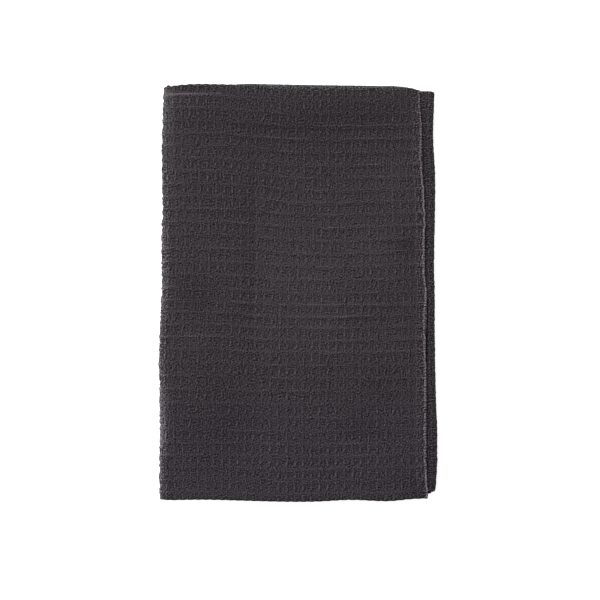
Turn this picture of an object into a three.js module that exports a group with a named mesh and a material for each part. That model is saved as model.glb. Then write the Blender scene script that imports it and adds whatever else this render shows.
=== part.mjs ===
import * as THREE from 'three';

// A waffle-weave sauna towel, folded for the shelf. It is one rectangle of cloth. First it is doubled
// along its length, which puts one long fold at the back and the two selvages at the front. Then it is
// folded crosswise into six panels: the outer end wraps the pile as a top flap, and every panel turns
// into the next at the spine on the left or at the folds on the right.
// Millimetres, +Z up, X across the panels, Y from the selvages to the long fold.

// The cloth and how close its layers lie
const clothThickness = 1.5;
const layerGap = 0.4;
const doubledThickness = 2 * clothThickness + layerGap;
const panelPitch = doubledThickness + layerGap;
const panelCount = 6;
const pileHeight = panelCount * panelPitch - layerGap;
const halfDoubled = doubledThickness / 2;

// The outline seen from above: how far each edge lies from the middle of the towel, along its length
const spineEdge = [
  { y: 188, x: -121.0 },
  { y: 150, x: -122.6 },
  { y: 70, x: -123.0 },
  { y: 34, x: -124.2 },
  { y: 7, x: -123.3 },
  { y: -57, x: -125.6 },
  { y: -93, x: -126.0 },
  { y: -125, x: -124.9 },
  { y: -161, x: -126.0 },
  { y: -188, x: -125.2 },
];
const foldedEdge = [
  { y: 182, x: 123.2 },
  { y: 143, x: 121.8 },
  { y: 102, x: 123.8 },
  { y: 20, x: 122.6 },
  { y: -34, x: 123.7 },
  { y: -134, x: 126.0 },
  { y: -170, x: 125.3 },
  { y: -177, x: 124.3 },
  { y: -181, x: 120.8 },
];
const flapEdge = [
  { y: 182, x: 110.0 },
  { y: 120, x: 111.7 },
  { y: 66, x: 115.3 },
  { y: 30, x: 114.4 },
  { y: 2, x: 116.0 },
  { y: -60, x: 115.5 },
  { y: -150, x: 116.0 },
  { y: -187, x: 117.4 },
];
const flapBack = [
  { x: -122, y: 184.6 },
  { x: -115, y: 187.6 },
  { x: -94, y: 189.3 },
  { x: -56, y: 189.1 },
  { x: 15, y: 187.5 },
  { x: 58, y: 187.5 },
  { x: 91, y: 186.5 },
  { x: 103, y: 185.3 },
  { x: 113, y: 181.8 },
];
const flapFront = [
  { x: -122, y: -187.8 },
  { x: -83, y: -187.4 },
  { x: -12, y: -189.5 },
  { x: 15, y: -189.4 },
  { x: 47, y: -187.6 },
  { x: 80, y: -188.7 },
  { x: 102, y: -186.9 },
  { x: 117, y: -186.4 },
];

// The panels in the order of the cloth, from the flap to the hidden inner end. Level 1 lies on the
// shelf, and facing says whether the cloth's outer face looks up (1) or down (-1) there. The panels
// under the flap draw in towards the folded edge: back is the y of the long fold and front that of the
// selvages, at the spine and at the folded edge.
const flapLevel = 6;
const innermostLevel = 3;
const panels = [
  { level: flapLevel, facing: 1 },
  { level: 1, facing: -1, spineBack: 185.5, foldBack: 182.6, spineFront: -186.5, foldFront: -181.2 },
  { level: 2, facing: 1, spineBack: 184.0, foldBack: 182.2, spineFront: -185.0, foldFront: -180.6 },
  { level: 5, facing: -1, spineBack: 185.0, foldBack: 181.5, spineFront: -186.0, foldFront: -180.8 },
  { level: 4, facing: 1, spineBack: 183.5, foldBack: 181.0, spineFront: -184.5, foldFront: -180.2 },
  { level: innermostLevel, facing: -1, spineBack: 183, foldBack: 181.4, spineFront: -184, foldFront: -181 },
];

// Soft swells and hollows of the pile, from the way it was pressed by hand
const swells = [
  { x: -70, y: 60, reachX: 55, reachY: 90, rise: 0.9 },
  { x: -37, y: 25, reachX: 13, reachY: 110, rise: -0.8 },
  { x: 30, y: -60, reachX: 60, reachY: 80, rise: 0.8 },
  { x: 62, y: -126, reachX: 26, reachY: 34, rise: -0.7 },
  { x: 118, y: 186, reachX: 20, reachY: 14, rise: -4.0 },
  { x: 120, y: -184, reachX: 14, reachY: 12, rise: -2.4 },
  { x: -120, y: 186, reachX: 16, reachY: 12, rise: -1.6 },
];

// How far the hidden inner end and the under sheet's selvage stop short of the edges over them
const innerEndSetback = 3;
const underSelvageSetback = 1.6;

// How finely each stretch is divided; the length is divided at shares from the selvages to the long fold
const flapSteps = 13;
const panelSteps = 7;
const foldSteps = 6;
const spineSteps = [11, 8, 6];
const lengthStations = [0, 0.012, 0.05, 0.15, 0.3, 0.45, 0.6, 0.74, 0.86, 0.94, 0.98, 1];
const backTurnSteps = 5;

const mix = (from, to, share) => from + (to - from) * share;

// A smooth curve through the rows of a table, held at its end values beyond them
function alongTable(rows, along, value, at) {
  const sorted = rows[0][along] < rows[1][along] ? rows : [...rows].reverse();
  const last = sorted.length - 1;
  if (at <= sorted[0][along]) return sorted[0][value];
  if (at >= sorted[last][along]) return sorted[last][value];
  const i = sorted.findIndex((row) => row[along] > at) - 1;
  const slope = (k) => {
    const before = sorted[Math.max(k - 1, 0)];
    const after = sorted[Math.min(k + 1, last)];
    return (after[value] - before[value]) / (after[along] - before[along]);
  };
  const span = sorted[i + 1][along] - sorted[i][along];
  const t = (at - sorted[i][along]) / span;
  const t2 = t * t;
  const t3 = t2 * t;
  return sorted[i][value] * (2 * t3 - 3 * t2 + 1)
    + slope(i) * span * (t3 - 2 * t2 + t)
    + sorted[i + 1][value] * (3 * t2 - 2 * t3)
    + slope(i + 1) * span * (t3 - t2);
}

// Where the panels turn, at a given y
const outerSpineRadius = pileHeight / 2;
const foldRadius = panelPitch / 2 + halfDoubled;
const levelHeight = (level) => halfDoubled + (level - 1) * panelPitch;
const spineCentre = (y) => alongTable(spineEdge, 'y', 'x', y) + outerSpineRadius;

function panelEnd(panel, y) {
  if (panel.level === flapLevel) return alongTable(flapEdge, 'y', 'x', y);
  const foldCentre = alongTable(foldedEdge, 'y', 'x', y) - foldRadius;
  return panel.level === innermostLevel ? foldCentre - innerEndSetback : foldCentre;
}

// One step of the way along a panel, at a share of its width from the spine to its end. Its place is a
// point of the doubled cloth's middle plane, and facing is the way the cloth's outer face looks there.
function flatStep(panel, share) {
  const z = levelHeight(panel.level);
  return {
    panel,
    share,
    place: (spineX, endX) => ({ x: mix(spineX, endX, share), z }),
    facing: { x: 0, z: panel.facing },
  };
}

// The steps of a half-round turn from one panel into the next, at the spine or at the folded edge
function turnSteps(panel, nextPanel, atSpine, steps) {
  const fromZ = levelHeight(panel.level);
  const toZ = levelHeight(nextPanel.level);
  const radius = Math.abs(toZ - fromZ) / 2;
  const start = Math.sign(fromZ - toZ);
  const outwards = panel.facing * start;
  return Array.from({ length: steps - 1 }, (_, i) => {
    const turned = (i + 1) / steps;
    const across = (atSpine ? -1 : 1) * Math.sin(Math.PI * turned);
    const up = start * Math.cos(Math.PI * turned);
    return {
      panel,
      nextPanel,
      turned,
      share: atSpine ? 0 : 1,
      place: (spineX, endX) => ({
        x: (atSpine ? spineX : endX) + radius * across,
        z: (fromZ + toZ) / 2 + radius * up,
      }),
      facing: { x: outwards * across, z: outwards * up },
    };
  });
}

// The whole way from the flap's free end to the hidden inner end
function foldingWay() {
  return panels.flatMap((panel, index) => {
    const towardsSpine = index % 2 === 0;
    const steps = panel.level === flapLevel ? flapSteps : panelSteps;
    const flat = Array.from({ length: steps + 1 }, (_, i) => (
      flatStep(panel, towardsSpine ? 1 - i / steps : i / steps)
    ));
    if (index === panels.length - 1) return flat;
    const turnCount = towardsSpine ? spineSteps[index / 2] : foldSteps;
    return [...flat, ...turnSteps(panel, panels[index + 1], towardsSpine, turnCount)];
  });
}

// The y of a panel's long fold and of its selvages at a share of the way from the spine to its end
function panelEdges(panel, share) {
  if (panel.level === flapLevel) {
    const x = mix(spineCentre(0), panelEnd(panel, 0), share);
    return { back: alongTable(flapBack, 'x', 'y', x), front: alongTable(flapFront, 'x', 'y', x) };
  }
  return {
    back: mix(panel.spineBack, panel.foldBack, share),
    front: mix(panel.spineFront, panel.foldFront, share),
  };
}

function stepEdges(step) {
  const edges = panelEdges(step.panel, step.share);
  if (!step.nextPanel) return edges;
  const next = panelEdges(step.nextPanel, step.share);
  return { back: mix(edges.back, next.back, step.turned), front: mix(edges.front, next.front, step.turned) };
}

// The doubled cloth's section: a closed ring of stations, out over both sheets' faces and back along
// their inner faces. A station has the share of the way from the selvages to the long fold, its reach
// past the centre of that fold, its height off the middle plane, and whether it is on the under sheet.
function doubledSection() {
  const out = (radius) => [
    ...lengthStations.map((along) => ({ along, reach: 0, off: radius, under: false })),
    ...Array.from({ length: backTurnSteps - 1 }, (_, i) => {
      const angle = Math.PI * (0.5 - (i + 1) / backTurnSteps);
      return { along: 1, reach: radius * Math.cos(angle), off: radius * Math.sin(angle), under: angle < 0 };
    }),
    ...lengthStations.map((_, i) => lengthStations[lengthStations.length - 1 - i])
      .map((along) => ({ along, reach: 0, off: -radius, under: true })),
  ];
  return [...out(halfDoubled), ...out(layerGap / 2).reverse()];
}

function swellAt(x, y) {
  return swells.reduce((sum, swell) => {
    const across = (x - swell.x) / swell.reachX;
    const along = (y - swell.y) / swell.reachY;
    return sum + swell.rise * Math.exp(-across * across - along * along);
  }, 0);
}

function towelPoint(step, station) {
  const edges = stepEdges(step);
  const front = edges.front + (station.under ? underSelvageSetback : 0);
  const y = mix(front, edges.back - halfDoubled, station.along) + station.reach;
  const middle = step.place(spineCentre(y), panelEnd(step.panel, y));
  const x = middle.x + station.off * step.facing.x;
  const z = middle.z + station.off * step.facing.z;
  return [x, y, z * (1 + swellAt(x, y) / pileHeight)];
}

function towelGeometry() {
  const way = foldingWay();
  const section = doubledSection();
  const ring = section.length;
  const positions = way.flatMap((step) => section.flatMap((station) => towelPoint(step, station)));
  const indices = [];
  const addQuad = (a, b, c, d) => indices.push(a, b, c, a, c, d);
  for (let i = 0; i < way.length - 1; i += 1) {
    for (let k = 0; k < ring; k += 1) {
      const here = i * ring + k;
      const beside = i * ring + ((k + 1) % ring);
      addQuad(here, beside, beside + ring, here + ring);
    }
  }
  // The two hemmed ends close the cloth's thickness, from the outer faces to the inner ones
  const farEnd = (way.length - 1) * ring;
  for (let k = 0; k < ring / 2 - 1; k += 1) {
    const outer = [k, k + 1];
    const inner = [ring - 1 - k, ring - 2 - k];
    addQuad(outer[1], outer[0], inner[0], inner[1]);
    addQuad(farEnd + outer[0], farEnd + outer[1], farEnd + inner[1], farEnd + inner[0]);
  }
  const geometry = new THREE.BufferGeometry();
  geometry.setAttribute('position', new THREE.Float32BufferAttribute(positions, 3));
  geometry.setIndex(indices);
  geometry.computeBoundingBox();
  const middle = geometry.boundingBox.getCenter(new THREE.Vector3());
  geometry.translate(-middle.x, -middle.y, 0);
  geometry.computeVertexNormals();
  return geometry;
}

const charcoalCotton = new THREE.MeshStandardMaterial({
  color: new THREE.Color('rgb(59, 54, 59)'),
  roughness: 0.95,
  metalness: 0,
});

const towel = new THREE.Group();
const cloth = new THREE.Mesh(towelGeometry(), charcoalCotton);
cloth.name = 'towel_cloth';
towel.add(cloth);

export default towel;
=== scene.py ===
import math
import bpy
import numpy as np
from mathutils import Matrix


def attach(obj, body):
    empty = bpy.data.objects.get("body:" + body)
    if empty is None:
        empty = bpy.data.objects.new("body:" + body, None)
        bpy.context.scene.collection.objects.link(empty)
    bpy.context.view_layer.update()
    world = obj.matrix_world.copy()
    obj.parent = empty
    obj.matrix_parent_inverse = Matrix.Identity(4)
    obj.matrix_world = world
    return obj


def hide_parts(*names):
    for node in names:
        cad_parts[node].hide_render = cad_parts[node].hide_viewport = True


# A waffle-weave sauna towel, folded for the shelf: one cloth, doubled along its length and then folded
# crosswise into six panels. Sizes in the dictionaries are millimetres, the scene is in metres.

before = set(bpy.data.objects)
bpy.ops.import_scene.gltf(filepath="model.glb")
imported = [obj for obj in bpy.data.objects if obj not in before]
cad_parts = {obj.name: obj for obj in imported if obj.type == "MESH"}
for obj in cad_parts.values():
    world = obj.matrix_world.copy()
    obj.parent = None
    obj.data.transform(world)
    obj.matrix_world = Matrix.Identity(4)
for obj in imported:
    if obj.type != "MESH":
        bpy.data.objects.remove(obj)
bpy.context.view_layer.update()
mm = 0.001

# The folding, as in the solid but with finer edge lines. An edge table has (place along it, where it lies),
# and a panel's back and front are given at the spine and at its end.
folding = {
    "clothThickness": 1.5, "layerGap": 0.4, "panelCount": 6,
    "halfWidth": 374.0,  # from the upper selvage to the long fold, on the outer face
    "spineEdge": [
        (-188, -125.2), (-161, -125.7), (-120, -125.4), (-93, -125.6), (-57, -125.9), (-15, -124.3),
        (7, -123.4), (36, -123.9), (70, -123), (116, -123.1), (150, -122.7), (188, -121)],
    "foldedEdge": [
        (-182, 121.8), (-179.5, 124), (-176, 124.7), (-168, 125.3), (-134, 126), (-85, 124.5), (-34, 123.6),
        (5, 123.6), (20, 123), (102, 124.1), (143, 122.3), (182, 123.4)],
    "flapEdge": [
        (-187, 117.4), (-170, 116.4), (-159, 115.6), (-126, 115.2), (-116, 115.5), (-105, 115.1),
        (-94, 115.2), (-78, 115.7), (-61, 115), (-40, 114.5), (-22, 114.6), (-7, 115.6), (4, 115.7),
        (15, 114.7), (31, 113.8), (47, 114.1), (62, 114.8), (80, 114), (91, 113.5), (102, 112.9),
        (113, 112), (124, 111), (134, 111.4), (145, 111.5), (156, 111.1), (167, 110.2), (182, 110.2)],
    "flapBack": [
        (-122, 184.9), (-116, 187.9), (-110, 188.9), (-94, 189.8), (-60, 189.4), (-48, 189.7), (-34, 189.5),
        (-22, 189.2), (3, 188.7), (20, 188.4), (58, 188), (78, 187.7), (91, 187.7), (97, 187.3),
        (103.5, 186.7), (109.3, 185.8), (116, 183.6)],
    "flapFront": [
        (-122, -187.8), (-83, -187.3), (-50, -188.1), (-12, -189.1), (15, -189), (47, -187.5), (80, -188.6),
        (102, -186.7), (117, -186.2)],
    "panels": [
        {"level": 6, "facing": 1},
        {"level": 1, "facing": -1, "back": (183.8, 182.6), "front": (-186.5, -181.2)},
        {"level": 2, "facing": 1, "back": (184, 182.2), "front": (-185, -180.6)},
        {"level": 5, "facing": -1, "back": (185, 183.1), "front": (-186, -182)},
        {"level": 4, "facing": 1, "back": (183.5, 182), "front": (-184.5, -181.6)},
        {"level": 3, "facing": -1, "back": (183, 181.4), "front": (-184, -181)},
    ],
    "innerEndSetback": 3.0, "underSelvageSetback": 1.6,
    # soft swells of the pile
    "swells": [
        (-70, 60, 55, 90, 0.9), (-37, 25, 13, 110, -0.8), (30, -60, 60, 80, 0.8), (62, -126, 26, 34, -0.7),
        (118, 186, 16, 12, -2.6), (120, -184, 14, 12, -2.4), (-120, 186, 16, 12, -1.6)],
}
halfWidth = folding["halfWidth"]
doubled = 2 * folding["clothThickness"] + folding["layerGap"]
pitch = doubled + folding["layerGap"]
pileHeight = folding["panelCount"] * pitch - folding["layerGap"]
halfDoubled = doubled / 2
spineRadius = pileHeight / 2
foldRadius = pitch / 2 + halfDoubled
foldArc = math.pi * halfDoubled
foldEnd = halfWidth + foldArc
widthLength = 2 * halfWidth + foldArc


def smooth(share):
    share = np.clip(share, 0, 1)
    return share * share * (3 - 2 * share)


def ramp(value, low, high):
    return smooth((value - low) / (high - low))


def curveThrough(rows, at):
    # a smooth line through a table of (place, value), level beyond its ends
    known = np.array([row[0] for row in rows], float)
    value = np.array([row[1] for row in rows], float)
    before = np.r_[0, np.arange(len(known) - 1)]
    after = np.r_[np.arange(1, len(known)), len(known) - 1]
    slope = (value[after] - value[before]) / (known[after] - known[before])
    at = np.clip(at, known[0], known[-1])
    i = np.clip(np.searchsorted(known, at, side="right") - 1, 0, len(known) - 2)
    span = known[i + 1] - known[i]
    t = (at - known[i]) / span
    return (value[i] * (2 * t**3 - 3 * t**2 + 1) + slope[i] * span * (t**3 - 2 * t**2 + t)
            + value[i + 1] * (3 * t**2 - 2 * t**3) + slope[i + 1] * span * (t**3 - t**2))


def spotsAt(x, y, spots):
    # the sum of soft round spots: x, y, reach in x, reach in y, amount
    total = np.zeros(np.shape(x))
    for spotX, spotY, reachX, reachY, amount in spots:
        total += amount * np.exp(-((x - spotX) / reachX)**2 - ((y - spotY) / reachY)**2)
    return total


def linesAt(x, y, lines):
    # the sum of soft straight lines: start x, y, end x, y, half width, amount
    total = np.zeros(np.shape(x))
    for ax, ay, bx, by, half, amount in lines:
        dx, dy = bx - ax, by - ay
        t = np.clip(((x - ax) * dx + (y - ay) * dy) / (dx * dx + dy * dy), 0, 1)
        total += amount * np.exp(-(np.hypot(x - ax - t * dx, y - ay - t * dy) / half)**2)
    return total


def levelHeight(level):
    return halfDoubled + (level - 1) * pitch


def spineCentre(y):
    return curveThrough(folding["spineEdge"], y) + spineRadius


def panelEnd(panel, y):
    if panel["level"] == folding["panelCount"]:
        return curveThrough(folding["flapEdge"], y)
    inset = folding["innerEndSetback"] if panel is folding["panels"][-1] else 0
    return curveThrough(folding["foldedEdge"], y) - foldRadius - inset


def panelEdges(panel, share):
    # a panel's edges at the long fold and at the selvages, share of the way from the spine to its end
    if panel["level"] == folding["panelCount"]:
        x = spineCentre(0) + (panelEnd(panel, 0) - spineCentre(0)) * share
        return curveThrough(folding["flapBack"], x), curveThrough(folding["flapFront"], x)
    return tuple(near + (far - near) * share for near, far in (panel["back"], panel["front"]))


# The way of the cloth, from the flap's free end to the hidden inner end, as flat panels and half turns, each
# as long as its outer face
def layOutWay():
    stretches = []
    start = 0.0
    panels = folding["panels"]
    for i, panel in enumerate(panels):
        length = float(panelEnd(panel, 0) - spineCentre(0))
        stretches.append({"panel": panel, "start": start, "length": length, "toSpine": i % 2 == 0})
        start += length
        if i + 1 < len(panels):
            rise = abs(levelHeight(panels[i + 1]["level"]) - levelHeight(panel["level"])) / 2
            length = math.pi * (rise + halfDoubled)
            stretches.append({**stretches[-1], "next": panels[i + 1], "start": start, "length": length,
                              "radius": rise})
            start += length
    return stretches, start


way, wayLength = layOutWay()
ends = [stretch["start"] + stretch["length"] for stretch in way]
flapLength = way[0]["length"]
spineStart, spineEnd = ends[0], ends[1]
stripStart, stripEnd = ends[6], ends[7]  # the turn at the folded edge that shows beside the flap
print("folding:", len(folding["panels"]), "panels,", round(pileHeight, 1), "mm high")

# The weave: ridges run along the way and bars across it, as a waffle of oblong cells. The drifts say how
# far its lines stray from an even lattice over the flap.
weave = {
    "cellAlong": 7.3, "cellAcross": 11.45,
    "barPlace": 0.097, "ridgePlace": 0.646,
    # a bar's lower part lies this much of a cell further left, until these heights in the cell
    "lean": 0.05, "leanEnds": (0.4, 0.65),
    # how much the lines waver by chance, in cells
    "barWaver": 0.05, "ridgeWaver": 0.035,
    # the drifts begin softly at an edge, and end past the flap and past the long fold
    "driftFromEdge": 28, "driftPastFlap": 70, "driftPastFold": 150,
    # how far the ridges stray up: each row is y, then the amounts at these x
    "ridgeDriftX": (-100, -75, -40, -5, 30, 65, 95),
    "ridgeDrift": [
        (-165, 1.4, 1.5, 0.5, -1.6, -0.1, 1.1, 2.3), (-149, 0.8, 1.1, 0.2, -1, -0.3, 0.7, 1.6),
        (-133, 1.2, 1.2, -0.2, -0.5, -0.5, 0.1, 0.8), (-116, 1.6, 1.8, 0.2, 0.2, 0.1, 0.5, 1),
        (-100, 2.7, 2.8, 1.4, 1.2, 0.8, 1, 1.4), (-84, 3.9, 3.9, 2.4, 1.8, 1.6, 1.7, 1.9),
        (-68, 4.9, 4.7, 2.8, 1.6, 1.7, 2, 2.4), (-51, 5.4, 5.2, 3, 1.7, 1.5, 2.3, 3.2),
        (-35, 5.5, 5.4, 2.9, 1.2, 0.9, 2.1, 3.2), (-18, 4.9, 4.3, 1.6, -0.1, -0.7, 0.4, 1.5),
        (-2, 4, 3.7, 1.4, -0.6, -1.5, -0.5, 0.5), (14, 4.7, 4.4, 2.3, -0.2, -1, -0.1, 1),
        (30, 4.7, 4.6, 3.2, 0.6, -0.3, 0.8, 2.1), (46, 5.6, 5.7, 4.5, 1, 0.3, 1.5, 2.7),
        (63, 6.5, 6.4, 5.1, 1.6, 0.9, 2.1, 3.2), (79, 6.7, 6.5, 5.2, 1.3, 0.3, 1.4, 2.4),
        (96, 6.8, 6.3, 4.5, 0.8, -0.2, 0.8, 1.6), (112, 7, 6.6, 4.3, 0.8, -0.4, 0.6, 1.4),
        (128, 7.4, 6.9, 3.7, 0.9, 0.1, 1.1, 1.8), (145, 7.2, 6.7, 3.7, 1.3, 0.8, 1.4, 1.8),
        (161, 7, 6.6, 4.1, 1.9, 1.9, 1.8, 1.7)],
    # how far the bars stray right, in the same way
    "barDriftX": (-110, -75, -40, 0, 50, 100),
    "barDrift": [
        (-165, -0.4, -1.5, -2.8, -1.2, 0, 0.8), (-133, -1.2, -1.7, -2.6, -1.4, -0.3, 1),
        (-100, -2.4, -2, -2.2, -1.2, -0.5, 1), (-68, -2.1, -1.5, -1.5, -0.8, -0.2, 1),
        (-35, -1.4, -0.3, -0.5, -0.1, 0.3, 1.7), (-2, 0.3, 1, 0.4, 0.8, 0.9, 2.6),
        (30, 0.9, 1.7, 1, 1.5, 1.3, 2.6), (63, 1.2, 1.5, 0.4, 0.8, 0.5, 0.8),
        (96, 0.2, 0.5, -0.1, 0.2, -0.2, -1.1), (128, -1.3, -0.8, -0.5, -0.1, -0.4, -1.1),
        (161, -2, -1.3, -0.5, 0, 0, 0)],
}
cellAlong = weave["cellAlong"]
cellAcross = weave["cellAcross"]


def driftAt(x, y, places, rows):
    # how far the weave's lines stray at a point, smooth between the table's rows and columns
    down = np.array([curveThrough([(row[0], row[1 + k]) for row in rows], y) for k in range(len(places))])
    i = np.clip(np.searchsorted(places, x, side="right") - 1, 0, len(places) - 2)
    places = np.array(places, float)
    t = smooth((x - places[i]) / (places[i + 1] - places[i]))
    k = np.arange(len(x))
    return down[i, k] * (1 - t) + down[i + 1, k] * t


def slip(u, v):
    # how far the cloth is slid along the way and across it, for its lines to stray as the drifts say
    flap = folding["panels"][0]
    onFlap = np.minimum(u, flapLength)
    share = 1 - onFlap / flapLength
    back, front = panelEdges(flap, share)
    fromFront = np.minimum(np.minimum(v, widthLength - v), halfWidth)
    y = front + (back - halfDoubled - front) * fromFront / halfWidth
    x = spineCentre(y) + (panelEnd(flap, y) - spineCentre(y)) * share
    edgeX = float(panelEnd(flap, 0))
    edgeY = float(curveThrough(folding["flapFront"], 0))
    # a drift depends on where the point ends up, so it is looked up twice
    for _ in range(2):
        nextX = edgeX - onFlap + driftAt(x, y, weave["barDriftX"], weave["barDrift"])
        nextY = edgeY + fromFront + driftAt(x, y, weave["ridgeDriftX"], weave["ridgeDrift"])
        x, y = nextX, nextY
    newShare = (x - spineCentre(y)) / (panelEnd(flap, y) - spineCentre(y))
    along = (1 - newShare) * flapLength - onFlap
    back, front = panelEdges(flap, np.clip(newShare, 0, 1))
    across = (y - front) / (back - halfDoubled - front) * halfWidth - fromFront
    held = 1 - smooth((u - flapLength) / weave["driftPastFlap"])
    along = along * smooth(u / weave["driftFromEdge"]) * held
    across = across * smooth(v / weave["driftFromEdge"]) * held
    return along, across * (1 - smooth((v - foldEnd) / weave["driftPastFold"]))


def layCloth(along, across, off):
    # where the folding puts points of the cloth: off is the height off the doubled cloth's middle
    x, y, z = (np.zeros(len(along)) for _ in range(3))
    under = across > halfWidth + foldArc / 2
    angle = math.pi * (0.5 - np.clip((across - halfWidth) / foldArc, 0, 1))
    share = np.minimum(np.minimum(across, widthLength - across) / halfWidth, 1)
    reach = off * np.cos(angle)
    lift = off * np.sin(angle)
    for stretch, end in zip(way, ends):
        first, last = stretch is way[0], stretch is way[-1]
        here = ((along >= stretch["start"]) | first) & ((along < end) | last)
        if not here.any():
            continue
        # part is how far along the stretch a point is, spread how far from the spine to the panel's end
        part = (along[here] - stretch["start"]) / stretch["length"]
        panel = stretch["panel"]
        if "next" not in stretch:
            spread = 1 - part if stretch["toSpine"] else part
            back, front = panelEdges(panel, spread)
            lookX, lookZ = 0.0, panel["facing"]
            shiftX, height = 0.0, levelHeight(panel["level"])
        else:
            spread = np.full(part.shape, 0.0 if stretch["toSpine"] else 1.0)
            back, front = panelEdges(panel, spread)
            nextBack, nextFront = panelEdges(stretch["next"], spread)
            back = back + (nextBack - back) * part
            front = front + (nextFront - front) * part
            fromZ, toZ = levelHeight(panel["level"]), levelHeight(stretch["next"]["level"])
            start = np.sign(fromZ - toZ)
            outwards = panel["facing"] * start
            sideways = (-1 if stretch["toSpine"] else 1) * np.sin(math.pi * part)
            up = start * np.cos(math.pi * part)
            lookX, lookZ = outwards * sideways, outwards * up
            shiftX, height = stretch["radius"] * sideways, (fromZ + toZ) / 2 + stretch["radius"] * up
        front = front + np.where(under[here], folding["underSelvageSetback"], 0)
        hereY = front + (back - halfDoubled - front) * share[here] + reach[here]
        spineX = spineCentre(hereY)
        y[here] = hereY
        x[here] = spineX + (panelEnd(panel, hereY) - spineX) * spread + shiftX + lift[here] * lookX
        z[here] = height + lift[here] * lookZ
    return x, y, z * (1 + spotsAt(x, y, folding["swells"]) / pileHeight)


# The towel's own surface: how high the weave stands, and the creases pressed into the flap
relief = {
    "ridgeHeight": 0.11, "ridgeHalf": 1.6,
    "crestHeight": 0.08, "crestHalf": 0.6,
    "barHeight": 0.22, "barHalf": 0.62,
    # where in its cell a bar is highest, how soon it falls below and above that, and what is left above
    "barMiddle": 0.46, "footReach": 0.14, "tailReach": 0.16, "tailShare": 0.38,
    "recess": 0.05,
    # how much single cells differ by chance, and how uneven the surface is
    "columnSway": 0.06, "middleChance": 0.07, "barChance": 0.45, "crestChance": 0.9,
    "recessChance": 0.6, "recessUneven": 0.05, "barUneven": 0.25, "wobble": 0.085,
    # the relief on the strip beside the flap, and more of it at the folded edge
    "stripShare": 0.55, "stripRim": 1.2,
    "foldRibs": 0.14, "edgeBead": 0.35, "scallop": 0.3, "endScallop": 0.3, "endWander": 0.25,
    "spineShoulder": 2.7,  # 2 would be a true half circle
    "spineLift": 1.6, "spineRough": 0.4,
    "edgeSlope": 0.5, "cutRadius": 0.7, "cutDepth": 0.6,
    # pressed creases on the flap, by their depth: below zero is a ridge
    "creases": [
        (-37, 118, -39, 60, 3, 0.32), (-39, 60, -42, -25, 3.5, 0.2), (-33, 112, -36, -20, 5, -0.2),
        (-120, 180, -70, 180.8, 0.9, -0.3)],
    # where the bars and the ridges stand higher or lower than elsewhere
    "barSpots": [
        (-38, -20, 20, 40, 0.35), (30, -155, 90, 30, 0.3), (-100, 165, 15, 15, 0.6),
        (-100, 0, 14, 140, -0.3), (20, 60, 100, 60, -0.25), (-60, 150, 60, 25, -0.1)],
    "ridgeSpots": [
        (10, -18, 90, 13, 0.8), (0, 138, 110, 16, 0.35), (65, 70, 45, 55, 0.35), (0, -120, 130, 55, -0.35),
        (0, 172, 100, 11, -0.5)],
}


def softNoise(x, y, size, seed):
    # steady chance values from -1 to 1 on a grid of this size, smooth in between
    table = np.random.default_rng(seed).uniform(-1, 1, (97, 89))
    gx, gy = x / size, y / size
    ix, iy = np.floor(gx).astype(int), np.floor(gy).astype(int)
    tx, ty = smooth(gx - ix), smooth(gy - iy)

    def corner(a, b):
        return table[a % 97, b % 89]

    low = corner(ix, iy) * (1 - tx) + corner(ix + 1, iy) * tx
    high = corner(ix, iy + 1) * (1 - tx) + corner(ix + 1, iy + 1) * tx
    return low * (1 - ty) + high * ty


def perCell(column, row, seed):
    # one steady chance value for each cell, from -1 to 1
    table = np.random.default_rng(seed).uniform(-1, 1, (71, 67))
    return table[column.astype(int) % 71, row.astype(int) % 67]


def waffle(cu, cv, barShare, ridgeShare):
    # the height of an oblong waffle: a low ridge, a bar that hangs from it as a teardrop, blunt end down, and
    # between the bars a recess that is deepest right under the ridge
    column, row = np.round(cu), np.floor(cv)
    inCell = cv - row
    lean = weave["lean"] * (1 - ramp(inCell, *weave["leanEnds"]))
    du = (cu - column - lean + relief["columnSway"] * perCell(column, row, 21)) * cellAlong
    dv = np.minimum(inCell, 1 - inCell) * cellAcross
    crest = 1 + relief["crestChance"] * perCell(np.floor(cu / 2), np.round(cv), 22)
    crest = crest * np.exp(-(dv / relief["crestHalf"])**2)
    ridge = relief["ridgeHeight"] * np.exp(-(dv / relief["ridgeHalf"])**2) + relief["crestHeight"] * crest
    ridge = ridge * ridgeShare
    fromMiddle = inCell - relief["barMiddle"] - relief["middleChance"] * perCell(column, row, 23)
    narrowing = np.exp(-(fromMiddle / relief["tailReach"])**2)
    tail = relief["tailShare"] + (1 - relief["tailShare"]) * narrowing
    drop = np.where(fromMiddle > 0, tail, np.exp(-(fromMiddle / relief["footReach"])**2))
    drop = drop * (1 + relief["barChance"] * perCell(column, row, 24))
    half = relief["barHalf"] * (0.65 + 0.35 * narrowing)
    bar = relief["barHeight"] * barShare * (0.15 + 0.85 * drop) * np.exp(-(du / half)**2)
    between = np.floor(cu)
    under = 1 - inCell + relief["recessUneven"] * perCell(between, row, 26)
    recess = ramp(under, 0.08, 0.2) * (1 - ramp(under, 0.3, 0.7)) * ramp(np.abs(du), 0.3, 1.2)
    recess = recess * ridgeShare * (1 + relief["recessChance"] * perCell(between, row, 25))
    return np.maximum(ridge, bar) + 0.2 * np.minimum(ridge, bar) - relief["recess"] * recess


def weaveAt(u, v, x, y):
    # where a point lies in the weave, in cells
    cu = u / cellAlong - weave["barPlace"] + weave["barWaver"] * softNoise(x, y, 9, 3)
    cv = v / cellAcross - weave["ridgePlace"] + weave["ridgeWaver"] * softNoise(x, y, 13, 4)
    return cu, cv


def spinePart(u):
    # 1 where the cloth rounds the spine, seen from above
    fromSpine = u - spineStart
    return ramp(fromSpine, 2, 9) * (1 - ramp(fromSpine, 23, 31))


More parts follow.
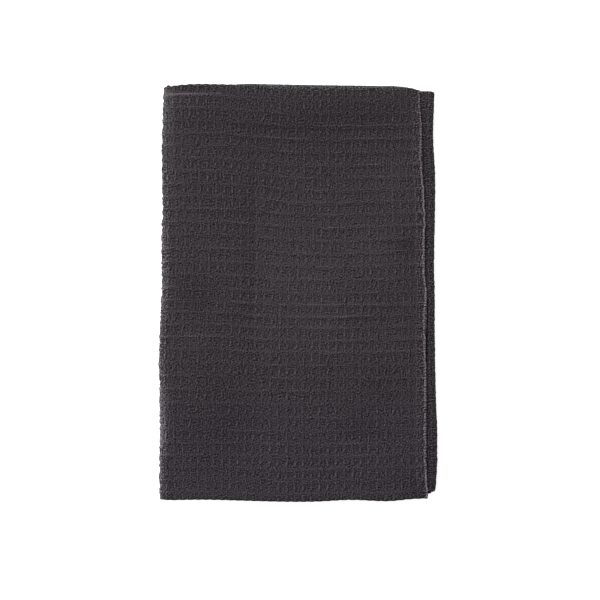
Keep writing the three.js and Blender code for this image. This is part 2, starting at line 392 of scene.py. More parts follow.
def reliefShare(u, v):
    # 1 on the flap, more on the spine, less on the strip beside the flap, and 0 elsewhere
    top = 1 - ramp(u, spineEnd - 4, spineEnd + 6)
    top = top * (1 - ramp((v - halfWidth) / foldArc, 0.7, 1.2))
    strip = ramp(u, stripStart - 13, stripStart - 9) * (1 - ramp(u, stripEnd, stripEnd + 4))
    fromOutermost = u - (stripStart + stripEnd) / 2
    strip = strip * (relief["stripShare"] + relief["stripRim"] * np.exp(-(fromOutermost / 3)**2))
    strip = strip * ramp((v - halfWidth) / foldArc, 0.3, 0.8)
    return np.maximum(top * (1 + relief["spineLift"] * spinePart(u)), strip)


def liveliness(x, y):
    # how strongly the bars and the ridges show from place to place, 1 on average
    bars = 1 + 0.35 * softNoise(x, y, 22, 6) + spotsAt(x, y, relief["barSpots"])
    ridges = 1 + 0.35 * softNoise(x, y, 22, 5) + spotsAt(x, y, relief["ridgeSpots"])
    return np.maximum(bars, 0.2), np.maximum(ridges, 0.2)


def outerHeight(u, v, x, y, cu, cv):
    # how far the outer face stands off the plain sheet
    share = reliefShare(u, v)
    barShare, ridgeShare = liveliness(x, y)
    barShare = barShare + relief["barUneven"] * softNoise(x, y, 7, 6)
    fromSelvage = np.minimum(v, widthLength - v)
    fromFold = v - halfWidth
    # the weave is lower at the free end and along the selvages
    band = (0.3 + 0.7 * ramp(u, 2.0, 6.5)) * (0.45 + 0.55 * ramp(fromSelvage, 1.0, 4.0))
    height = share * band * waffle(cu, cv, barShare, ridgeShare)
    # over the long fold the bars stand as ribs
    overFold = np.exp(-((fromFold + 1.5) / 3.2)**2) * (1 + ramp(-x, 50, 90))
    height += share * overFold * relief["foldRibs"] * np.cos(2 * math.pi * cu)
    height += share * relief["wobble"] * (softNoise(x, y, 2.1, 7) + 0.3 * softNoise(x, y, 4.3, 8))
    height += share * relief["spineRough"] * spinePart(u) * softNoise(u, y, 1.8, 12)
    height -= share * linesAt(x, y, relief["creases"])
    # the upper layer sinks a little towards the long fold
    sink = ramp(fromFold, -5, 0) * (1 - smooth(fromFold / (foldArc * 0.5)))
    height -= relief["edgeSlope"] * sink * np.minimum(share, 1)
    # the free end has a round bead, and every cut side is rounded
    knots = 0.6 + 0.4 * np.cos(2 * math.pi * cv)
    bead = relief["edgeBead"] * knots * np.exp(-((u - 1.0) / 0.9)**2)
    height += np.where(v < halfWidth + foldArc / 2, bead, 0.3 * bead)
    nearest = np.minimum(np.minimum(u, wayLength - u), fromSelvage)
    inward = np.clip(1 - nearest / relief["cutRadius"], 0, 1)
    return height - relief["cutDepth"] * (1 - np.sqrt(np.clip(1 - inward**2, 0, 1)))


def spineShoulder(u, v):
    # the doubled cloth turns the spine squarer than a half circle, by this much
    turn = math.pi * np.clip((u - spineStart) / way[1]["length"], 0, 1)
    power = relief["spineShoulder"]
    radius = (np.abs(np.cos(turn))**power + np.abs(np.sin(turn))**power)**(-1 / power)
    return spineRadius * (radius - 1) * (1 - smooth((v - halfWidth) / foldArc))


# The mesh is fine enough for the weave on the flap, the spine and the strip, and coarse where it is hidden
mesh = {
    "perCellAlong": 6, "perCellAcross": 8,
    "crowding": 0.62,  # how much closer the lines lie at a bar or a ridge
    "foldSteps": 6,
    "edgeSteps": (0, 0.25, 0.6, 1.0, 1.5, 2.2, 3.2),
    "stripReach": 17.0,
}


def cellStations(start, end, size, place, steps, crowding):
    n = np.arange(math.floor(start / size) - 1, math.ceil(end / size) + 1)
    f = np.arange(steps) / steps
    f = f - crowding * np.sin(2 * math.pi * f) / (2 * math.pi)
    stations = ((n[:, None] + f[None, :] + place) * size).ravel()
    return stations[(stations > start) & (stations < end)]


def alongStations():
    edge = np.array(mesh["edgeSteps"])

    def fine(start, end):
        return cellStations(start, end, cellAlong, weave["barPlace"], mesh["perCellAlong"], mesh["crowding"])

    def coarse(start, end):
        return cellStations(start, end, cellAlong, weave["barPlace"], 1, 0)

    return np.concatenate([
        edge,
        fine(edge[-1] + 0.4, spineEnd + 6),
        coarse(spineEnd + 6, ends[2] - 2),
        np.linspace(ends[2], ends[3], 11),
        coarse(ends[3] + 3, ends[4] - 2)[::2],
        np.linspace(ends[4], ends[5], 12),
        coarse(ends[5] + 3, stripStart - mesh["stripReach"] - 1)[::2],
        fine(stripStart - mesh["stripReach"], stripEnd + 4),
        coarse(stripEnd + 5, ends[8] - 2)[::2],
        np.linspace(ends[8], ends[9], 9),
        coarse(ends[9] + 3, wayLength - 5)[::2],
        wayLength - edge[::-1],
    ])


def acrossStations():
    edge = np.array(mesh["edgeSteps"])
    turn = halfWidth + foldArc * np.arange(-11, mesh["foldSteps"] + 9) / mesh["foldSteps"]

    def fine(start, end):
        return cellStations(start, end, cellAcross, weave["ridgePlace"], mesh["perCellAcross"],
                            mesh["crowding"])

    return np.concatenate([edge, fine(edge[-1] + 0.5, turn[0] - 0.5), turn,
                           fine(turn[-1] + 0.5, widthLength - edge[-1] - 0.5), widthLength - edge[::-1]])


def columnsFor(u, stations):
    # the columns of a row of the outer face: fine where it shows, coarse elsewhere
    number = np.arange(len(stations))
    turn = (stations > halfWidth - 10) & (stations < foldEnd + 8)
    edges = (stations < 3.3) | (stations > widthLength - 3.3)
    upper = stations <= halfWidth
    if u < spineEnd + 6:
        keep = turn | edges | upper | (number % 20 == 0)
    elif stripStart - mesh["stripReach"] - 1 < u < stripEnd + 4:
        keep = turn | edges | ~upper | (number % 20 == 0)
    else:
        every = 4 if u < ends[2] else 16
        keep = (turn & (number % 2 == 0)) | edges | (number % every == 0)
    keep |= (stations >= halfWidth - 0.01) & (stations <= foldEnd + 0.01)
    keep[[0, -1]] = True
    return stations[keep]


def layOutGrid():
    # the points of both faces, row by row, with their places in the cloth
    innerColumns = np.array([0, 2.2, 20, 110, 240, halfWidth - 12, *(halfWidth + foldArc * np.arange(5) / 4),
                             foldEnd + 12, 510, 650, widthLength - 20, widthLength - 2.2, widthLength])
    rows, stations = alongStations(), acrossStations()
    outerColumns = [columnsFor(row, stations) for row in rows]
    outer, inner, u, v = [], [], [], []
    count = 0
    for face, columns in ((outer, outerColumns), (inner, [innerColumns] * len(rows))):
        for row, column in zip(rows, columns):
            face.append((np.arange(count, count + len(column)), column))
            u.append(np.full(len(column), row))
            v.append(column)
            count += len(column)
    return outer, inner, np.concatenate(u), np.concatenate(v)


def zipRows(near, far, faces):
    # joins two rows by quads where their columns agree, and else by triangles
    near, nearPlace = near
    far, farPlace = far
    i = j = 0
    while i < len(near) - 1 or j < len(far) - 1:
        more, moreFar = i < len(near) - 1, j < len(far) - 1
        if more and moreFar and abs(nearPlace[i + 1] - farPlace[j + 1]) < 1e-6:
            faces.append((near[i], near[i + 1], far[j + 1], far[j]))
            i += 1
            j += 1
        elif more and (not moreFar or nearPlace[i + 1] < farPlace[j + 1]):
            faces.append((near[i], near[i + 1], far[j]))
            i += 1
        else:
            faces.append((near[i], far[j + 1], far[j]))
            j += 1


def joinGrid(outer, inner):
    # both faces of the sheet and its four cut sides
    faces = []
    for k in range(len(outer) - 1):
        zipRows(outer[k], outer[k + 1], faces)
        zipRows(inner[k + 1], inner[k], faces)
        a, b, c, d = outer[k][0], outer[k + 1][0], inner[k + 1][0], inner[k][0]
        faces.append((a[0], b[0], c[0], d[0]))
        faces.append((b[-1], a[-1], d[-1], c[-1]))
    zipRows(inner[0], outer[0], faces)
    zipRows(outer[-1], inner[-1], faces)
    return [tuple(int(i) for i in face) for face in faces]


# Plum-charcoal cotton, greyed by washing
cotton = {
    "deep": (0.0163, 0.0121, 0.0154, 1),
    "light": (0.1569, 0.1341, 0.1508, 1),
    # the lower part has faded towards violet, from this far below the middle, over this reach
    "fadeStart": 92, "fadeReach": 52,
    "deepFaded": (0.0165, 0.0121, 0.0170, 1),
    "lightFaded": (0.1583, 0.1341, 0.1646, 1),
    "edgeYarn": (0.225, 0.2, 0.219, 1),
    # how strongly the edge yarn shows, by y
    "yarnStrength": [
        (-187, 1.3), (-170, 1.34), (-155, 1.1), (-125, 0.94), (-100, 0.98), (-62, 1.22), (-40, 1.3),
        (-18, 1.03), (5, 1.26), (40, 1.22), (69, 1.22), (100, 0.92), (124, 0.78), (167, 0.72), (182, 0.85)],
    "roughness": 0.95, "specular": 0.15,
    "lightest": 2.8,  # the tone at which the light colour is reached
    # painted highlights on floats and crests, painted shade in recesses, painted shadows beside floats
    "floatHighlight": 0.375, "crestHighlight": 0.245, "recessShade": 0.175, "crescentShadow": 0.23, "threadTone": 0.024,
    "grainTone": 0.7, "grainBump": 0.88, "undersideMarks": 0.8,
    # how much darker the selvage is and lighter the free end; painted light on the strip, which the flap
    # shades, and a painted highlight on the long fold, which faces the light
    "selvageShade": 0.28,
    "endTone": 0.16, "stripLight": 0.16, "foldHighlight": 0.34,
    # painted light round the spine, which faces the low light from the left, by y: a painted highlight,
    # partly its lighter fuzz, on its outermost millimetres, and painted light and shade on the band beside
    # them
    "rimHighlight": [
        (-182, 0.8), (-165, 0.85), (-145, 1.5), (-127, 2.3), (-108, 2), (-84, 1.25), (-38, 0.82), (7, 0.87),
        (52, 0.98), (95, 0.76), (132, 0.8), (155, 1.1), (180, 1.25)],
    "rimBandLightAndShade": [
        (-182, -0.4), (-162, -0.4), (-150, -0.2), (-127, 0.47), (-107, 0.38), (-84, 0.26), (-61, -0.1),
        (-38, -0.27), (-10, 0), (7, 0.1), (52, -0.1), (95, -0.22), (132, -0.12), (155, 0.2), (180, 0.35)],
    # painted highlight on the turn of the long fold, which faces the light from above, by x
    "turnHighlight": [
        (-122, 0.6), (-108, 1.5), (-70, 1.4), (-40, 1), (0, 0.7), (50, 0.1), (90, 0.4), (125, 0.5)],
    # fuzz takes colour away, and threads that stand out make the tone livelier
    "fuzzGrey": 0.6, "proudTone": 2.6, "tuftTone": 6.5,
    # painted highlights on single ridges that catch the light and painted shade lines under others, and soft
    # darker and lighter places, partly uneven tone and partly painted shading of soft hollows and swells
    "lines": [
        (-120, 180, -70, 180.8, 0.9, 0.75), (-36, -10.5, 103, -10.9, 0.6, 0.33),
        (88, 140.6, 105, 139.9, 0.6, 0.3), (-110, 145.3, -84, 146.2, 0.6, 0.3),
        (-110, -7.8, -58, -7.8, 0.6, 0.28), (-48, -22, 65, -20.8, 0.6, 0.3),
        (-40, -31.3, 38, -30.4, 0.6, 0.27), (-12, 81.9, 26, 81.9, 0.6, 0.28),
        (-33, -53.1, 105, -52.4, 0.6, 0.27), (48, 60.3, 79, 61.1, 0.6, 0.28), (-27, 13, 11, 13, 0.6, 0.28),
        (-110, 4, -58, 4, 0.6, 0.25), (-110, -38.6, -81, -38.6, 0.6, 0.25),
        (10, -137.3, 105, -136.4, 0.6, 0.27), (-48, 98.2, -18, 97.3, 0.8, -0.33),
        (-110, 6.7, -54, 5.8, 0.8, -0.27), (-110, -6, -52, -6, 0.7, -0.24),
        (73, 138.1, 105, 137.2, 0.8, -0.24), (60, -168.2, 105, -167.2, 0.8, -0.24),
        (-70, -20.5, -21, -18.7, 0.8, -0.22), (-62, 151.7, 13, 151.7, 0.8, -0.26),
        (46, -23.4, 79, -22.7, 0.8, -0.24), (4, 105.5, 33, 105.5, 0.8, -0.24),
        (-64, -74.8, -26, -74.8, 0.8, -0.24), (11, 37.5, 39, 37.5, 0.8, -0.24),
        (74, -12.6, 99, -12.6, 0.8, -0.2), (-75, 53.6, -33, 52.9, 0.8, -0.22),
        (-61, 75.6, -23, 74.7, 0.8, -0.24)],
    "shades": [
        (55, 161, 45, 15, -0.12), (-15, 149, 65, 15, -0.08), (-112, 110, 10, 75, 0.05),
        (-106, 178, 16, 8, 0.09), (8, 12, 42, 48, 0.12), (62, 42, 20, 20, 0.08), (88, 96, 15, 34, 0.08),
        (98, 42, 9, 7, -0.22), (-90, -2, 14, 13, -0.13), (-98, -43, 16, 8, 0.07),
        (-66, -120, 23, 26, -0.11), (-77, -80, 14, 20, -0.07), (76, -84, 20, 20, -0.08),
        (60, -124, 22, 12, -0.1), (86, -129, 10, 8, -0.05), (14, -143, 14, 11, -0.06),
        (-100, 185.5, 22, 3, -0.25), (10, 162, 120, 28, -0.09), (-72, 100, 34, 45, -0.06),
        (-66, -105, 40, 60, -0.045), (10, -114, 14, 9, 0.05), (-27, -146, 14, 13, 0.05),
        (84, -38, 18, 12, 0.06), (-85, -152, 20, 24, -0.045), (95, -155, 18, 20, -0.04),
        (-100, -118, 16, 24, -0.06), (45, -152, 30, 12, 0.05), (30, 128, 60, 11, -0.065),
        (-28, 107, 12, 20, -0.05), (-97, 0, 12, 20, -0.055), (10, -40, 50, 14, 0.04),
        (78, 32, 16, 18, 0.05), (-84, 158, 11, 18, -0.045)],
}


def toneAndPaintedLightAt(u, v, x, y):
    # change of tone from place to place, mostly painted light and shade: soft spots, highlights and shade
    # lines on single ridges, the selvage and the free end, painted light on the strip, highlights on the
    # folds
    fromSpine, fromFold = u - spineStart, v - halfWidth
    seen = v < foldEnd
    onFlap = u < flapLength + 20
    shade = spotsAt(x, y, cotton["shades"]) + linesAt(x, y, cotton["lines"])
    shade -= cotton["selvageShade"] * (1 - ramp(v, 1, 3.2))
    shade += cotton["endTone"] * ramp(u, 1.5, 3.5) * (1 - ramp(u, 6, 11))
    # off the flap, painted light lifts the strip, which lies in the flap's shadow
    shade = np.where(onFlap, shade, cotton["stripLight"])
    # painted highlights on the long fold and its turn, which face the light from above
    foldLight = cotton["foldHighlight"] * ramp(fromFold, -4, 0)
    foldLight += curveThrough(cotton["turnHighlight"], x) * ramp(fromFold, 0, 2.5)
    shade += np.where(onFlap & seen, foldLight, 0)
    # painted highlight on the spine's outermost millimetres, partly its lighter fuzz, and painted light and
    # shade on the band beside them
    onSpine = spinePart(u) * seen * (1 - 0.7 * ramp(fromFold, -6, -1))
    outermost = ramp(fromSpine, 9.5, 14)
    litRim = onSpine * outermost * (1 - 0.8 * ramp(fromSpine, 14.5, 18))
    beside = onSpine * (1 - outermost)
    return shade + litRim * curveThrough(cotton["rimHighlight"], y) + beside * curveThrough(cotton["rimBandLightAndShade"], y)


def fuzzAt(u, v, y):
    # grey fuzz hides the yarn's colour on the spine (most at its back end), the selvage, the long fold and
    # the strip beside the flap
    fromSpine, fromFold = u - spineStart, v - halfWidth
    fuzz = ramp(fromSpine, -6, 6) * (fromSpine < 40) * (0.4 + 0.6 * ramp(y, 128, 150))
    fuzz = np.maximum(fuzz, 1 - ramp(v, 0, 9))
    fuzz = np.maximum(fuzz, ramp(fromFold, -10, -2)) * (v < foldEnd)
    return np.maximum(fuzz, 0.65 * ramp(u - stripStart, -3, 1) * (fromFold > 0))


def proudAt(u, v):
    # threads stand out round the spine, at the free end and over the long fold, and a little past the flap
    fromSpine, fromFold = u - spineStart, v - halfWidth
    onFlap = u < flapLength + 20
    proud = spinePart(u) * (0.7 + 0.7 * ramp(fromSpine, 9, 14)) * (1 - 0.8 * ramp(fromSpine, 14, 18))
    proud = np.maximum(proud, 0.5 * (1 - ramp(u, 4, 9)))
    proud = np.maximum(proud, 0.6 * ramp(fromFold, -6, -2) * onFlap)
    proud = np.where(fromSpine < 30, proud, 0.4)
    return np.where(onFlap & (v > foldEnd), 0, proud)


def pointMarks(u, v, x, y):
    # what the cotton's material reads at each point of the outer face
    carved = np.minimum(reliefShare(u, v), 1)
    # the underside is flat, and its weave shows by its tones and a bump alone
    below = ramp(u, spineEnd + 6, spineEnd + 14) * (1 - ramp(u, ends[2] - 4, ends[2] + 4))
    marked = np.maximum(carved, cotton["undersideMarks"] * below)
    barShare, ridgeShare = liveliness(x, y)
    yarn = (1 - ramp(u, 0.9, 1.8)) * (v < foldEnd)
    yarn = yarn * (curveThrough(cotton["yarnStrength"], y) + 0.2 * softNoise(x, y, 9, 10))
    return {
        "carved": carved,
        "bars": marked * barShare,
        "ridges": marked * ridgeShare,
        "edgeYarn": yarn,
        # the tone from place to place, mostly painted light and shade
        "shade": toneAndPaintedLightAt(u, v, x, y) * carved,
        "proud": proudAt(u, v),
        "fuzz": fuzzAt(u, v, y),
    }


def buildTowel():
    outer, inner, u, v = layOutGrid()
    isOuter = np.arange(len(u)) < sum(len(numbers) for numbers, _ in outer)
    slipAlong, slipAcross = slip(u, v)
    along = u + np.where(isOuter, slipAlong, 0)
    across = v + np.where(isOuter, slipAcross, 0)
    x, y, _ = layCloth(along, across, np.full(len(u), halfDoubled))
    cu, cv = weaveAt(u, v, x, y)
    off = np.where(isOuter, halfDoubled + outerHeight(u, v, x, y, cu, cv), folding["layerGap"] / 2)
    # the free end and the selvage run in and out a little with the ribs of the weave
    ribs = np.cos(2 * math.pi * cv) + 0.6 * softNoise(x, y, 6, 9)
    along = along - relief["endScallop"] * (1 + ribs) * np.exp(-(u / 3)**2)
    along = along + relief["endWander"] * softNoise(x, y, 8, 11) * np.exp(-(u / 9)**2)
    across = across - relief["scallop"] * (0.5 + 0.5 * np.cos(2 * math.pi * cu)) * np.exp(-(v / 2.5)**2)
    x, y, z = layCloth(along, across, off + spineShoulder(u, v))
    z = np.maximum(z, 0)

    data = bpy.data.meshes.new("towel")
    data.from_pydata((np.stack([x, y, z], 1) * mm).tolist(), [], joinGrid(outer, inner))
    data.validate()
    piece = bpy.data.objects.new("towel", data)
    bpy.context.scene.collection.objects.link(piece)

    cornerPoint = np.zeros(len(data.loops), np.int32)
    data.loops.foreach_get("vertex_index", cornerPoint)
    cells = np.stack([cu, cv], 1)[cornerPoint].astype(np.float32)
    data.uv_layers.new(name="weave").data.foreach_set("uv", cells.ravel())
    marks = {name: np.where(isOuter, values, 0) for name, values in pointMarks(u, v, x, y).items()}
    marks["faded"] = ramp(-y - cotton["fadeStart"] + 9 * softNoise(x, y, 16, 13), 0, cotton["fadeReach"])
    for name, values in marks.items():
        layer = data.attributes.new(name, "FLOAT", "POINT")
        layer.data.foreach_set("value", values.astype(np.float32))
    data.shade_smooth()
    triangles = sum(len(face.vertices) - 2 for face in data.polygons)
    print("towel:", len(data.polygons), "faces,", triangles, "triangles")
    return piece


# The cotton's material: small helpers add their nodes to its tree
cottonMaterial = bpy.data.materials.new("waffle_cotton")
cottonMaterial.use_nodes = True
tree = cottonMaterial.node_tree


def newNode(kind, **settings):
    node = tree.nodes.new(kind)
    for name, value in settings.items():
        setattr(node, name, value)
    return node


def feed(socket, value):
    # a number or colour is set on the socket, and anything else is linked to it
    if isinstance(value, (tuple, float, int)):
        socket.default_value = value
    else:
        tree.links.new(value, socket)


def calc(operation, a, b=0.0):
    node = newNode("ShaderNodeMath", operation=operation)
    feed(node.inputs[0], a)
    feed(node.inputs[1], b)
    return node.outputs[0]


def plus(a, b):
    return calc("ADD", a, b)


def minus(a, b):
    return calc("SUBTRACT", a, b)


def times(a, b):
    return calc("MULTIPLY", a, b)


def mapped(value, low, high, kind="LINEAR"):
    node = newNode("ShaderNodeMapRange", interpolation_type=kind)
    feed(node.inputs["Value"], value)
    feed(node.inputs["From Min"], low)
    feed(node.inputs["From Max"], high)
    return node.outputs["Result"]


def rising(value, low, high):
    return mapped(value, low, high, "SMOOTHSTEP")


def falling(value, low, high):
    return minus(1.0, rising(value, low, high))


def mixColour(factor, a, b):
    node = newNode("ShaderNodeMix", data_type="RGBA")
    for number, value in ((0, factor), (6, a), (7, b)):
        feed(node.inputs[number], value)
    return node.outputs[2]


def vectorOf(x, y):
    node = newNode("ShaderNodeCombineXYZ")
    feed(node.inputs[0], x)
    feed(node.inputs[1], y)
    return node.outputs[0]


def scaled(vector, scale, moved=(0, 0, 0)):
    node = newNode("ShaderNodeMapping")
    feed(node.inputs["Vector"], vector)
    feed(node.inputs["Location"], moved)
    feed(node.inputs["Scale"], scale)
    return node.outputs["Vector"]


def noiseAt(vector, scale=1.0, detail=0.0, roughness=0.5):
    node = newNode("ShaderNodeTexNoise")
    feed(node.inputs["Vector"], vector)
    feed(node.inputs["Scale"], scale)
    feed(node.inputs["Detail"], detail)
    feed(node.inputs["Roughness"], roughness)
    return node.outputs["Fac"]


def attribute(name):
    return newNode("ShaderNodeAttribute", attribute_name=name).outputs["Fac"]


# The marks in each cell, painted highlights and shade: heights run from 0 at one ridge to 1 at the next one
# up, distances from a bar or a ridge are millimetres, and a pair says where a change begins and ends
cell = {
    "floatFoot": (0.26, 0.38), "floatHead": (0.49, 0.68),
    "floatCore": 0.3, "floatHalf": 0.64, "bellyHalf": 0.4, "bellyShare": 0.92,
    # the weakest float's strength, and how much chance adds to it
    "floatLeast": 0.6, "floatChance": 0.8,
    # painted shadows beside a float, as dark crescents, and how much fainter, closer and lower the right one
    # is
    "crescentOut": 0.35, "crescentInner": (0.9, 1.7), "crescentOuter": (2.1, 3.1),
    "crescentFoot": (0.34, 0.46), "crescentHead": (0.52, 0.66),
    "crescentLeft": 1.4, "rightFainter": 0.35,
    "rightCloser": 1.1, "closerEnds": (0.24, 0.42), "closerLoss": 0.7, "rightLower": 0.25,
    # painted highlights on the crests: their runs along a ridge, and how much the ridges differ
    "runPace": 0.26, "runApart": 3.7, "runWindow": (0.42, 0.64),
    "runStrength": 1.9, "crestEdge": (0.1, 0.7),
    # the painted shade in the recess, which follows the runs and is lighter on the right
    "recessFoot": (0.57, 0.69), "recessHead": (0.77, 0.88), "recessBeside": (0.4, 2.0),
    "recessLeast": 0.6, "recessRun": 0.8, "recessLeft": 1.15, "recessRight": 0.35,
    # fine lines of thread to a cell, and how much they sway
    "fineLines": 3, "swayPace": 0.05, "sway": 4.0,
}

# The thread texture: scale along and across the cloth, and where the dark gaps lie beside a light thread
threads = {
    "slubsAlong": (0.27, 0.6, [(0, 1.25)]),
    "slubsAcross": (0.58, 0.27, [(1.3, 0)]),
    "grain": (0.66, 0.66, [(1.2, 0), (-0.6, 1.04), (-0.6, -1.04)]),
    "alongShare": 0.92, "slubShare": 0.40, "grainShare": 0.60,
    "patches": 0.12, "patchWindow": (0.4, 0.6),
    "crispPatches": 0.17, "crispWindow": (0.34, 0.66), "crispLeast": 0.5,
    # how boldly a thread stands out: by itself, by its strength, and by its strength squared
    "bold": (0.74, 1.6, 15.0),
    "level": 0.481, "toneReach": 0.13,
}

# A point's place in the weave: in millimetres and in cells, and how far it is from the next bar and ridge
weaveMap = newNode("ShaderNodeUVMap", uv_map="weave").outputs["UV"]
millimetres = scaled(weaveMap, (cellAlong, cellAcross, 1))
split = newNode("ShaderNodeSeparateXYZ")
feed(split.inputs[0], weaveMap)
cellU, cellV = split.outputs[0], split.outputs[1]
inCell = calc("FRACT", cellV)
leaning = minus(cellU, times(falling(inCell, *weave["leanEnds"]), weave["lean"]))
fromBar = times(calc("PINGPONG", leaning, 0.5), cellAlong)
fromRidge = times(calc("PINGPONG", cellV, 0.5), cellAcross)
onRight = calc("GREATER_THAN", calc("FRACT", leaning), 0.5)


def threadNoise(scaleX, scaleY, shifts):
    # light threads with dark gaps beside them: a noise, less the same noise a little way off
    value = noiseAt(scaled(millimetres, (scaleX, scaleY, 1)))
    for x, y in shifts:
        beside = scaled(millimetres, (scaleX, scaleY, 1), (x * scaleX, y * scaleY, 0))
        value = minus(value, times(noiseAt(beside), 1 / len(shifts)))
    return value


def floatHighlightsAndShadows():
    # painted highlights on the floats below the ridges, strongest low down, each with its own strength
    foot = rising(inCell, *cell["floatFoot"])
    belly = times(foot, falling(inCell, *cell["floatHead"]))
    half = plus(times(belly, cell["bellyHalf"]), cell["floatHalf"])
    chance = newNode("ShaderNodeTexWhiteNoise", noise_dimensions="2D")
    feed(chance.inputs["Vector"], vectorOf(calc("ROUND", leaning), calc("FLOOR", cellV)))
    bellyShare = cell["bellyShare"]
    strength = plus(times(belly, bellyShare), times(foot, 1 - bellyShare))
    litFloats = times(falling(fromBar, cell["floatCore"], half), strength)
    own = plus(times(chance.outputs["Value"], cell["floatChance"]), cell["floatLeast"])
    litFloats = times(litFloats, own)
    # painted shadows beside a float, as dark crescents on both sides: the right one is closer, lower and
    # fainter
    loss = times(rising(inCell, *cell["closerEnds"]), cell["closerLoss"])
    closer = minus(cell["rightCloser"], loss)
    outwards = minus(plus(fromBar, times(closer, onRight)), cell["crescentOut"])
    shadowCrescent = rising(outwards, *cell["crescentInner"])
    shadowCrescent = times(shadowCrescent, falling(outwards, *cell["crescentOuter"]))
    lowered = plus(inCell, times(onRight, cell["rightLower"]))
    shadowCrescent = times(shadowCrescent, rising(lowered, *cell["crescentFoot"]))
    shadowCrescent = times(shadowCrescent, falling(inCell, *cell["crescentHead"]))
    shadowCrescent = times(shadowCrescent, minus(cell["crescentLeft"], times(onRight, cell["rightFainter"])))
    return minus(times(litFloats, cotton["floatHighlight"]), times(shadowCrescent, cotton["crescentShadow"]))


def crestHighlightsAndShade():
    # painted highlights on the crests, strong and faint in long runs, and painted shade in the recess under
    # them
    run = vectorOf(times(cellU, cell["runPace"]), times(calc("ROUND", cellV), cell["runApart"]))
    runs = mapped(noiseAt(run, 1.0, 2.0, 0.6), *cell["runWindow"])
    litCrests = times(falling(fromRidge, *cell["crestEdge"]), times(runs, cell["runStrength"]))
    under = times(rising(inCell, *cell["recessFoot"]), falling(inCell, *cell["recessHead"]))
    under = times(under, rising(fromBar, *cell["recessBeside"]))
    under = times(under, plus(times(runs, cell["recessRun"]), cell["recessLeast"]))
    under = times(under, minus(cell["recessLeft"], times(onRight, cell["recessRight"])))
    return minus(times(litCrests, cotton["crestHighlight"]), times(under, cotton["recessShade"]))


def weaveMarks():
    # painted highlights and shade of the floats and crests, as strong as the bars and ridges stand
    marks = plus(times(floatHighlightsAndShadows(), attribute("bars")), times(crestHighlightsAndShade(), attribute("ridges")))
    # fine lines of thread that sway a little
    sway = times(minus(noiseAt(millimetres, cell["swayPace"], 1.0), 0.75), cell["sway"])
    fine = calc("COSINE", plus(times(cellU, 2 * cell["fineLines"] * math.pi), sway))
    return plus(marks, times(fine, cotton["threadTone"]))


def threadTexture():
    # slubs along the cloth's two directions, in patches, and grain, crisper in some places
    slubsAlong = times(threadNoise(*threads["slubsAlong"]), threads["alongShare"])
    slubsAcross = threadNoise(*threads["slubsAcross"])
    grain = threadNoise(*threads["grain"])
    lengthwise = mapped(noiseAt(millimetres, threads["patches"]), *threads["patchWindow"])
    slubs = plus(times(minus(slubsAlong, slubsAcross), lengthwise), slubsAcross)
    texture = plus(times(slubs, threads["slubShare"]), times(grain, threads["grainShare"]))
    crisp = mapped(noiseAt(millimetres, threads["crispPatches"], 1.0), *threads["crispWindow"])
    crisp = plus(crisp, threads["crispLeast"])
    level, slope, square = threads["bold"]
    boldness = plus(plus(times(times(texture, texture), square), level), times(texture, slope))
    return plus(times(texture, times(crisp, boldness)), threads["level"])


def makeCotton():
    shader = tree.nodes["Principled BSDF"]
    texture = threadTexture()
    proud = attribute("proud")
    livelier = plus(times(proud, cotton["proudTone"]), 1.0)
    spread = threads["toneReach"] / cotton["grainTone"]
    tone = times(minus(mapped(texture, 0.5 - spread, 0.5 + spread), 0.5), livelier)
    tone = plus(plus(tone, 0.5), times(weaveMarks(), livelier))
    # light tufts and dark gaps where the cloth rounds the spine
    tufts = mapped(noiseAt(scaled(millimetres, (0.5, 0.3, 1)), 1.0, 1.0), 0.3, 0.7)
    proudest = calc("MAXIMUM", minus(proud, 0.65), 0.0)
    tone = plus(tone, times(times(minus(tufts, 0.5), proudest), cotton["tuftTone"]))
    # add the tone from place to place, mostly painted light and shade
    tone = mapped(plus(tone, attribute("shade")), 0, cotton["lightest"])

    faded = attribute("faded")
    deep = mixColour(faded, cotton["deep"], cotton["deepFaded"])
    light = mixColour(faded, cotton["light"], cotton["lightFaded"])
    grey = newNode("ShaderNodeHueSaturation")
    feed(grey.inputs["Color"], mixColour(tone, deep, light))
    feed(grey.inputs["Saturation"], minus(1.0, times(attribute("fuzz"), cotton["fuzzGrey"])))
    knots = plus(times(mapped(texture, 0.4, 0.6), 0.9), 0.26)
    yarn = mapped(times(attribute("edgeYarn"), knots), 0, 1)
    feed(shader.inputs["Base Color"], mixColour(yarn, grey.outputs["Color"], cotton["edgeYarn"]))
    feed(shader.inputs["Roughness"], cotton["roughness"])
    feed(shader.inputs["Specular IOR Level"], cotton["specular"])

    # the loft of the threads, and the waffle too where the sheet is flat
    bar = calc("DIVIDE", 0.5, plus(fromBar, 0.5))
    ridge = calc("DIVIDE", 0.4, plus(fromRidge, 0.4))
    flatWaffle = times(times(calc("MAXIMUM", bar, ridge), minus(1.0, attribute("carved"))), 0.5)
    loft = times(times(texture, cotton["grainBump"]), plus(times(proud, 0.4), 1.0))
    bump = newNode("ShaderNodeBump")
    feed(bump.inputs["Strength"], 1.0)
    feed(bump.inputs["Distance"], mm)
    feed(bump.inputs["Height"], plus(flatWaffle, loft))
    feed(shader.inputs["Normal"], bump.outputs[0])
    print("cotton:", len(tree.nodes), "nodes")


towel = buildTowel()
makeCotton()
towel.data.materials.append(cottonMaterial)
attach(towel, "root")
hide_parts("towel_cloth")

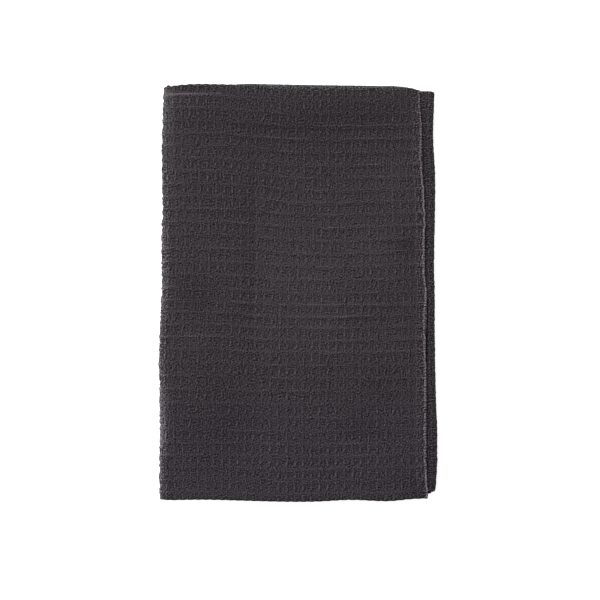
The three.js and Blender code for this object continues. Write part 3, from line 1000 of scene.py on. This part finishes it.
# Studio: a lit white table, a soft light from above, a low one from the left, and an even pale surround, in
# metres and degrees, and the camera's measures in millimetres
studio = {
    "tableSize": 6.0, "tableColour": (0.5, 0.5, 0.5, 1), "tableRoughness": 0.8, "tableGlow": 0.88,
    "surround": (1.0, 1.0, 1.0, 1), "surroundStrength": 0.2,
    "lights": [
        {"name": "softbox_top", "turn": 106, "height": 42, "distance": 4.0, "size": 1.5, "power": 166},
        {"name": "softbox_left", "turn": 182, "height": 11, "distance": 3.0, "size": 1.0, "power": 100},
    ],
    # the camera looks straight down, and its picture is this wide at the towel's top
    "cameraX": 1.54, "cameraY": -6.4,
    "lens": 300, "sensor": 36, "frameWidth": 543.6,
    "pixelFilter": 1.4,
}


def makeTable():
    bpy.ops.object.select_all(action="DESELECT")
    bpy.ops.mesh.primitive_plane_add(size=studio["tableSize"], location=(0, 0, 0))
    table = bpy.context.object
    table.name = "table"
    white = bpy.data.materials.new("white_table")
    white.use_nodes = True
    shader = white.node_tree.nodes["Principled BSDF"]
    feed(shader.inputs["Base Color"], studio["tableColour"])
    feed(shader.inputs["Roughness"], studio["tableRoughness"])
    feed(shader.inputs["Emission Color"], (1, 1, 1, 1))
    feed(shader.inputs["Emission Strength"], studio["tableGlow"])
    table.data.materials.append(white)


def makeSurround():
    world = bpy.data.worlds.new("surround")
    bpy.context.scene.world = world
    world.use_nodes = True
    background = world.node_tree.nodes["Background"]
    feed(background.inputs["Color"], studio["surround"])
    feed(background.inputs["Strength"], studio["surroundStrength"])


def makeLight(lamp):
    turn, rise, away = math.radians(lamp["turn"]), math.radians(lamp["height"]), lamp["distance"]
    flat = away * math.cos(rise)
    place = (flat * math.cos(turn), flat * math.sin(turn), away * math.sin(rise))
    bpy.ops.object.light_add(type="AREA", location=place)
    light = bpy.context.object
    light.name = lamp["name"]
    light.data.energy = lamp["power"]
    light.data.size = lamp["size"]
    light.rotation_euler = (math.pi / 2 - rise, 0, turn + math.pi / 2)


def makeCamera():
    height = studio["lens"] * studio["frameWidth"] / studio["sensor"] + pileHeight
    bpy.ops.object.camera_add(location=(studio["cameraX"] * mm, studio["cameraY"] * mm, height * mm))
    camera = bpy.context.object
    camera.data.lens = studio["lens"]
    camera.data.sensor_width = studio["sensor"]
    camera.data.clip_end = 20
    bpy.context.scene.camera = camera
    print("camera:", round(height * mm, 2), "m up")


makeTable()
makeSurround()
for lamp in studio["lights"]:
    makeLight(lamp)
print("studio: table, surround and", len(studio["lights"]), "lights")
makeCamera()
bpy.context.scene.view_settings.view_transform = "Standard"
bpy.context.scene.cycles.use_denoising = False
bpy.context.scene.cycles.filter_width = studio["pixelFilter"]
